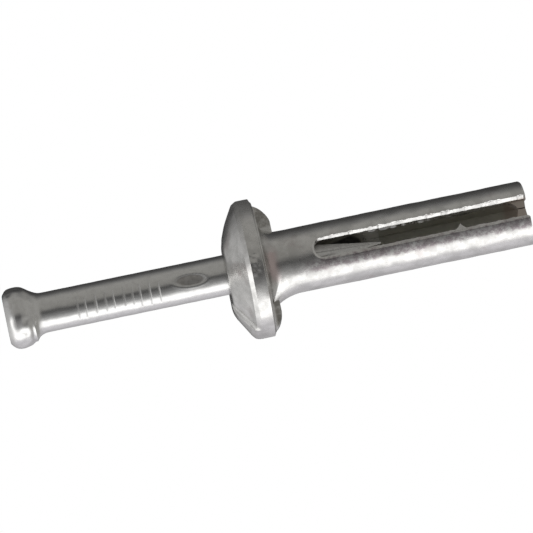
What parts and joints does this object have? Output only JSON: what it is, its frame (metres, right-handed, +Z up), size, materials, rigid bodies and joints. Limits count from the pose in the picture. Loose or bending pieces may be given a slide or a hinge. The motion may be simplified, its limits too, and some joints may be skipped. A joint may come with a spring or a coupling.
{
  "type": "wall anchor",
  "caption": "Hammer-driven wall anchor: mushroom-headed zinc body with a split sleeve and a steel drive nail that spreads it.",
  "frame": {"origin": "centre of the head's underside, on the axis, where the anchor enters the drilled hole", "axes": "+X along the sleeve, into the wall; +Z up, towards the longer casting rib; the wide side of the slot faces -Y"},
  "size_m": [0.0513, 0.0136, 0.0134],
  "materials": {
    "zinc_casting": "die-cast zinc alloy, as cast, satin bright with fine casting texture",
    "nail_steel": "steel, bright zinc plated, faint drawing marks"
  },
  "bodies": {
    "anchor_body": {"head_and_collar": "zinc_casting"},
    "upper_leg": {"upper_leg": "zinc_casting"},
    "lower_leg": {"lower_leg": "zinc_casting"},
    "nail": {"drive_nail": "nail_steel"}
  },
  "joints": [
    {"name": "nail_drive", "type": "slide", "parent": "anchor_body", "child": "nail", "axis": [1, 0, 0], "range_m": [0, 0.0184]},
    {"name": "upper_leg_spread", "type": "hinge", "parent": "anchor_body", "child": "upper_leg", "pos_m": [0.00604, 0, 0.00315], "axis": [0, -1, 0], "range_deg": [0, 6]},
    {"name": "lower_leg_spread", "type": "hinge", "parent": "anchor_body", "child": "lower_leg", "pos_m": [0.00604, 0, -0.00315], "axis": [0, 1, 0], "range_deg": [0, 6]}
  ],
  "couplings": [
    {"joint": "upper_leg_spread", "follows": "nail_drive", "rad_per_m": 5.6912},
    {"joint": "lower_leg_spread", "follows": "nail_drive", "rad_per_m": 5.6912}
  ]
}
